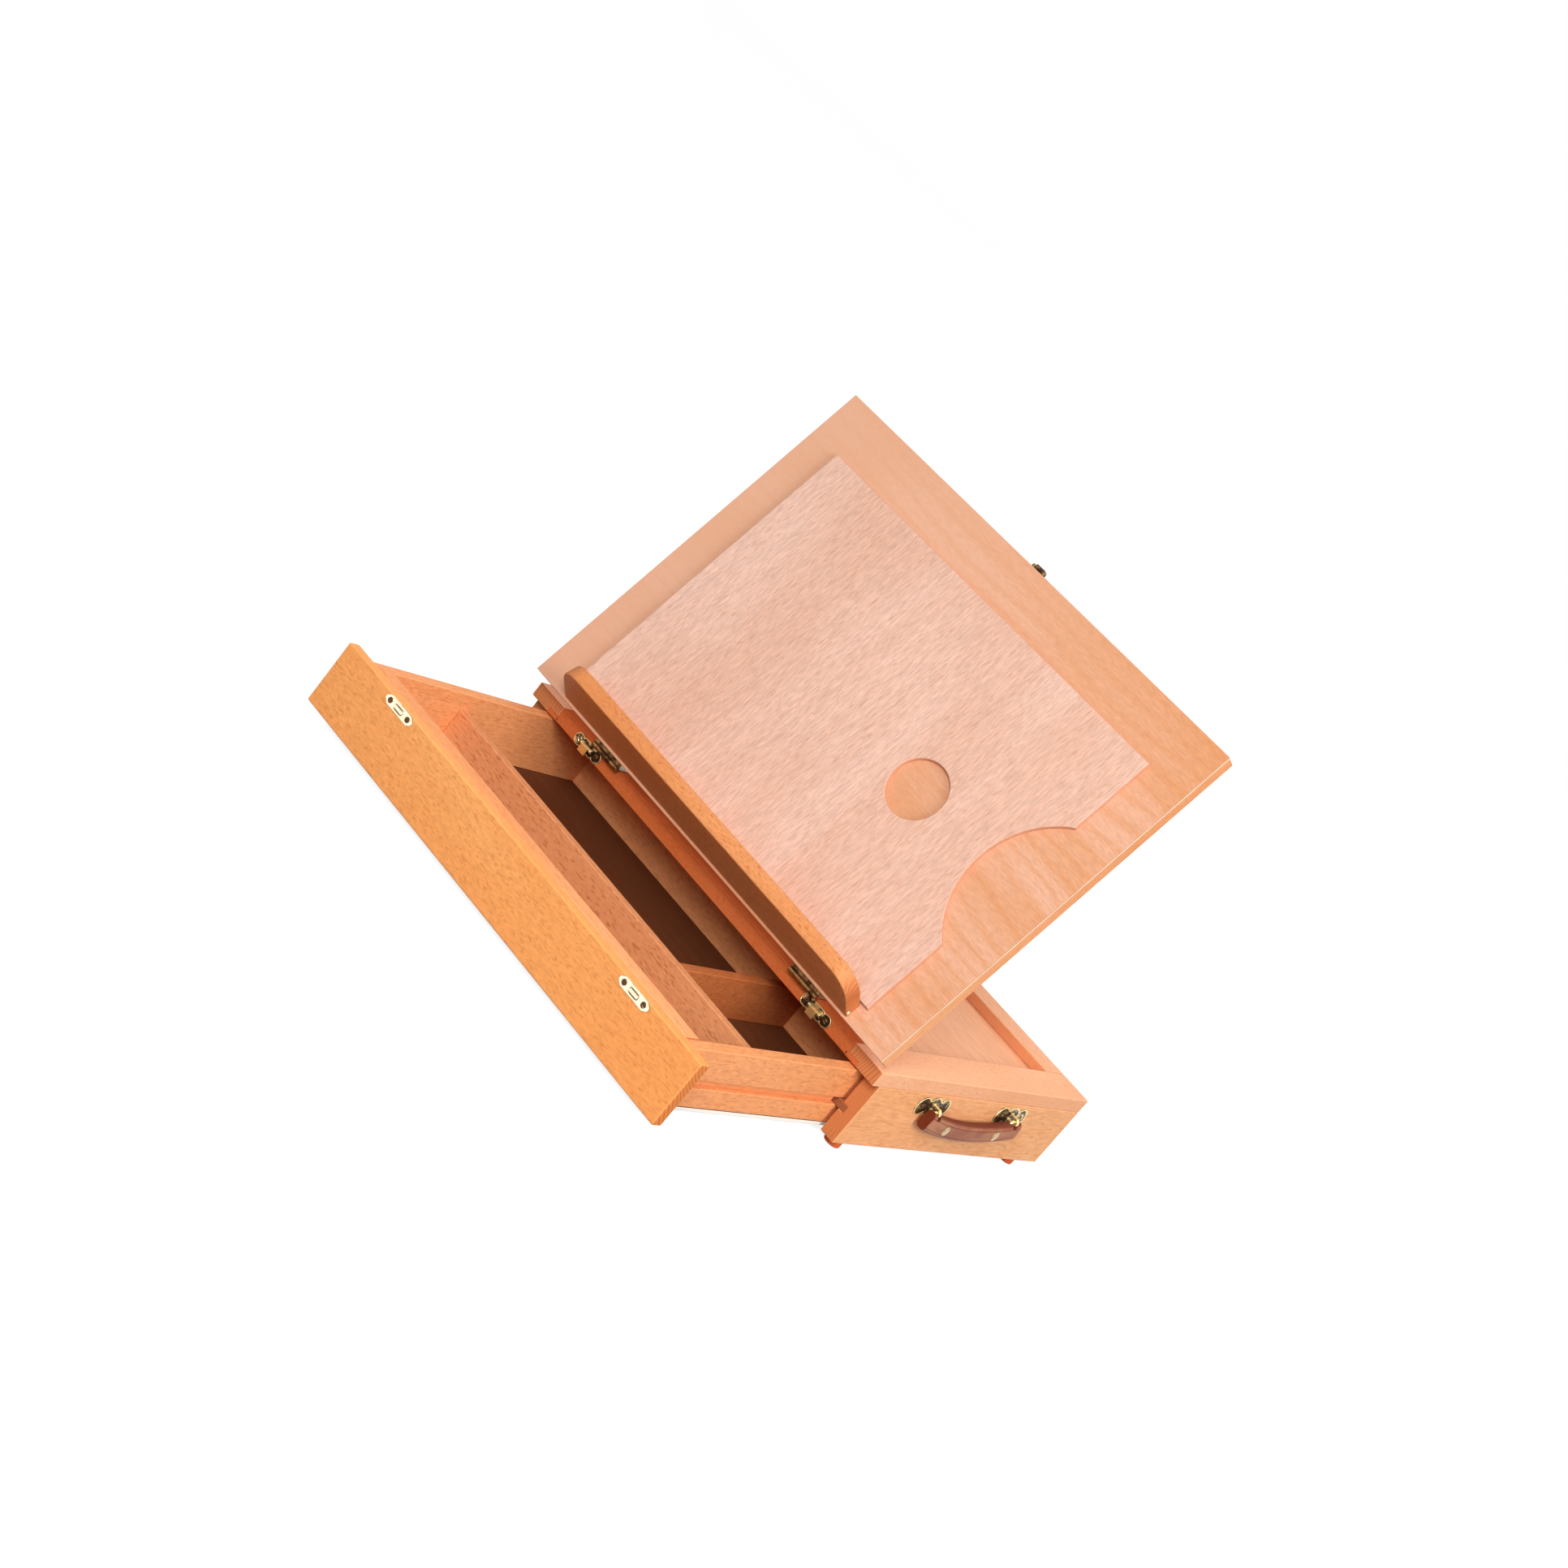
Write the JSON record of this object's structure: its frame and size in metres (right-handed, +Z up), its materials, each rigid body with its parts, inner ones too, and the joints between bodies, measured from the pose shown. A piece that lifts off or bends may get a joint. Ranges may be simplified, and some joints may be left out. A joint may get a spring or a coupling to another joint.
{
  "type": "table-top artist's easel box",
  "caption": "Table-top wooden easel box: paint drawer, tilting panel with canvas ledge, loose palette, folding prop, brass clasps and hinges, leather carrying handle.",
  "frame": {"origin": "under the middle of the case, on the plane its feet stand on", "axes": "+X across the case towards the carrying handle, +Y from the drawer front to the back of the case, +Z up"},
  "size_m": [0.4263, 0.5174, 0.3705],
  "materials": {
    "case_wood": "satin oiled beech",
    "rail_wood": "satin oiled beech",
    "deck_ply": "satin beech plywood",
    "runner_wood": "plain beech",
    "foot_wood": "red-brown wood",
    "front_wood": "satin oiled beech with dark flecks",
    "drawer_wood": "satin oiled beech",
    "divider_wood": "plain beech",
    "thin_ply": "thin plywood",
    "panel_ply": "satin beech plywood",
    "frame_wood": "satin oiled beech",
    "ledge_wood": "satin oiled beech",
    "palette_ply": "pale unvarnished plywood",
    "prop_wood": "satin oiled beech",
    "dark_brass": "aged brass",
    "bright_brass": "polished brass plate",
    "strap_leather": "smooth red-brown leather"
  },
  "bodies": {
    "case": {"case_side_left": "case_wood", "case_side_right": "case_wood", "case_back": "case_wood", "runner_left": "runner_wood", "runner_right": "runner_wood", "feet": "foot_wood", "top_rail_left": "rail_wood", "top_rail_right": "rail_wood", "top_rail_front": "rail_wood", "top_rail_rear": "rail_wood", "deck_board": "deck_ply", "clasp_base_left": "dark_brass", "clasp_base_right": "dark_brass", "catch_keeper": "bright_brass", "case_leaf_left": "bright_brass", "case_leaf_right": "bright_brass", "hinge_pin_left": "bright_brass", "hinge_pin_right": "bright_brass", "bracket_front": "dark_brass", "bracket_rear": "dark_brass", "case_screws": "bright_brass"},
    "clasp_left": {"clasp_hook_left": "dark_brass"},
    "clasp_right": {"clasp_hook_right": "dark_brass"},
    "handle": {"handle_strap": "strap_leather", "handle_ring_front": "dark_brass", "handle_ring_rear": "dark_brass", "handle_rivets": "bright_brass"},
    "drawer": {"drawer_front": "front_wood", "drawer_inner_front": "drawer_wood", "drawer_side_left": "drawer_wood", "drawer_side_right": "drawer_wood", "drawer_back": "drawer_wood", "drawer_bottom": "thin_ply", "long_divider": "divider_wood", "cross_divider": "divider_wood", "keeper_left": "bright_brass", "keeper_right": "bright_brass", "keeper_screws": "bright_brass"},
    "panel": {"panel_board": "panel_ply", "panel_frame_left": "frame_wood", "panel_frame_right": "frame_wood", "panel_frame_bottom": "frame_wood", "panel_frame_top": "frame_wood", "canvas_ledge": "ledge_wood", "ledge_pins": "bright_brass", "panel_leaf_left": "bright_brass", "panel_leaf_right": "bright_brass", "catch_base": "dark_brass", "panel_screws": "bright_brass", "prop_block_left": "prop_wood", "prop_block_right": "prop_wood", "prop_pins": "bright_brass"},
    "catch": {"catch_hook": "dark_brass"},
    "palette": {"palette": "palette_ply"},
    "prop": {"prop_leg_left": "prop_wood", "prop_leg_right": "prop_wood", "prop_crossbar": "prop_wood", "prop_foot_bar": "prop_wood"}
  },
  "joints": [
    {"name": "drawer_slide", "type": "slide", "parent": "case", "child": "drawer", "axis": [0, -1, 0], "range_m": [-0.205, 0.027]},
    {"name": "panel_tilt", "type": "hinge", "parent": "case", "child": "panel", "pos_m": [0, -0.1584, 0.0698], "axis": [1, 0, 0], "range_deg": [-70, 10]},
    {"name": "prop_fold", "type": "hinge", "parent": "panel", "child": "prop", "pos_m": [0, -0.1181, 0.1934], "axis": [1, 0, 0], "range_deg": [-20, 140]},
    {"name": "clasp_left_swing", "type": "hinge", "parent": "case", "child": "clasp_left", "pos_m": [-0.139, -0.1564, 0.06265], "axis": [-1, 0, 0], "range_deg": [0, 80]},
    {"name": "clasp_right_swing", "type": "hinge", "parent": "case", "child": "clasp_right", "pos_m": [0.139, -0.1564, 0.06265], "axis": [-1, 0, 0], "range_deg": [0, 80]},
    {"name": "catch_swing", "type": "hinge", "parent": "panel", "child": "catch", "pos_m": [0, -0.05529, 0.36727], "axis": [1, 0, 0], "range_deg": [0, 80]},
    {"name": "handle_swing", "type": "hinge", "parent": "case", "child": "handle", "pos_m": [0.2137, 0, 0.046], "axis": [0, -1, 0], "range_deg": [0, 110]},
    {"name": "palette_lift", "type": "slide", "parent": "panel", "child": "palette", "axis": [0, 0.342, 0.9397], "range_m": [0, 0.1]}
  ],
  "couplings": [
    {"joint": "prop_fold", "follows": "panel_tilt", "ratio": -2}
  ]
}
